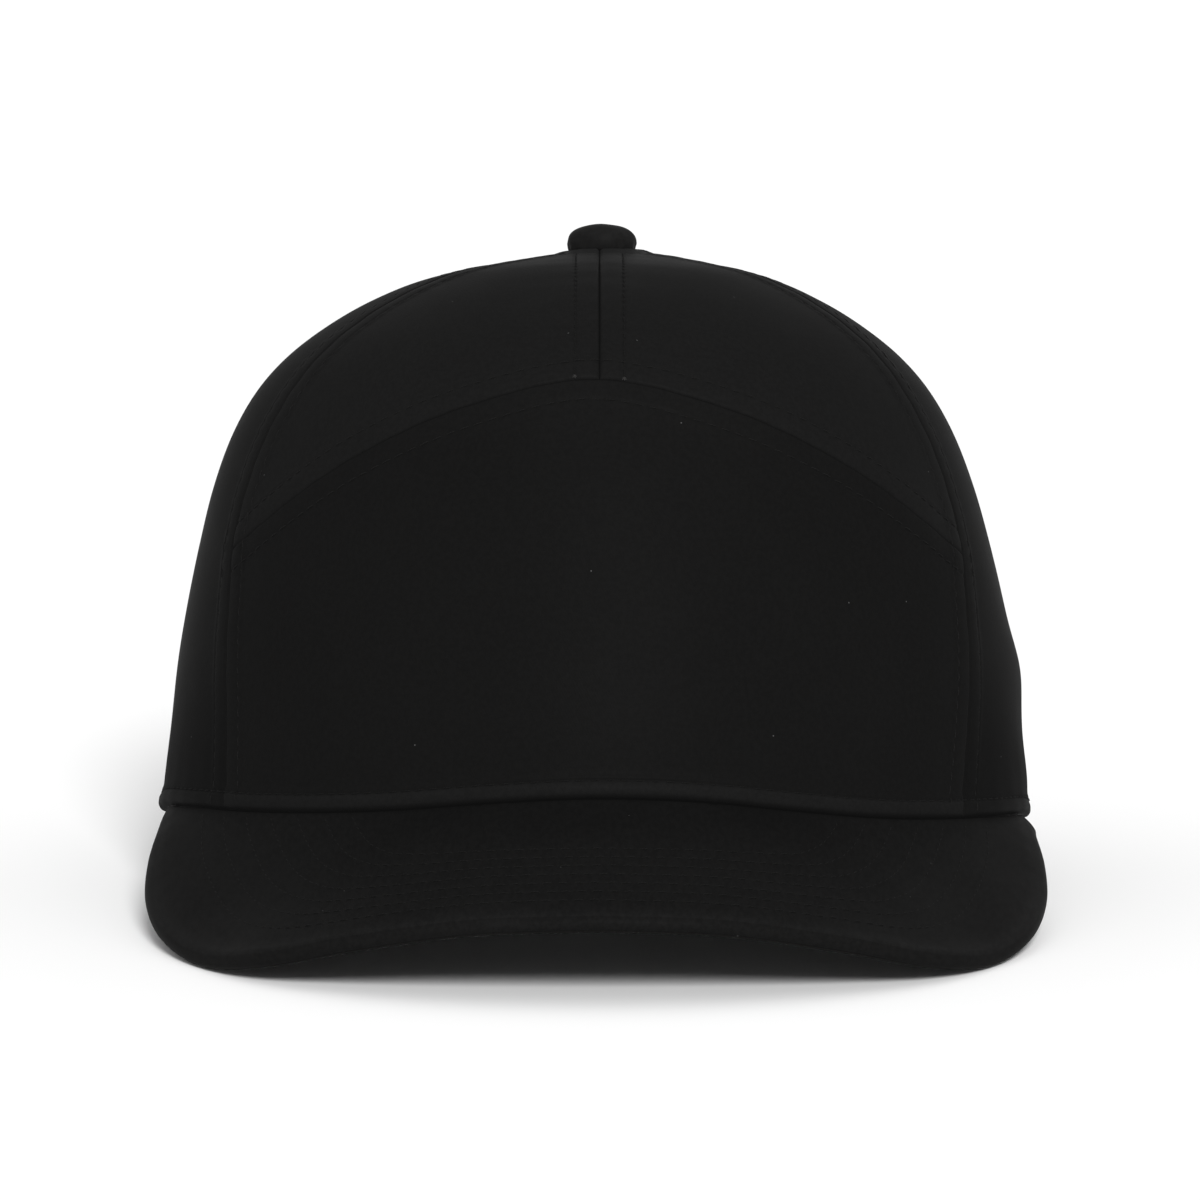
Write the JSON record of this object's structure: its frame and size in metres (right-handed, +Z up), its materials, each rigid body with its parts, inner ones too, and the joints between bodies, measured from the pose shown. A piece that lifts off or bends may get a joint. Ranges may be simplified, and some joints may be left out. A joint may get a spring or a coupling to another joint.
{
  "type": "snapback cap",
  "caption": "Cloth cap with a seamed dome crown, a button on top, an arched stiff visor and an adjustable closure under an arched back opening.",
  "frame": {"origin": "on the surface that the cap stands on, below the middle of its box", "axes": "+Z up, the visor points along -Y, +X is to the right as seen from in front of the visor"},
  "size_m": [0.1818, 0.2636, 0.1354],
  "materials": {
    "crown_cloth": "matte",
    "visor_cloth": "matte",
    "button_cloth": "matte",
    "thread": "satin",
    "strap_plastic": "satin"
  },
  "bodies": {
    "root": {"front_panel": "crown_cloth", "top_panel_left": "crown_cloth", "top_panel_right": "crown_cloth", "side_panel_left": "crown_cloth", "side_panel_right": "crown_cloth", "back_panel_left": "crown_cloth", "back_panel_right": "crown_cloth", "button": "button_cloth", "visor": "visor_cloth", "snap_strap": "strap_plastic"}
  },
  "joints": []
}
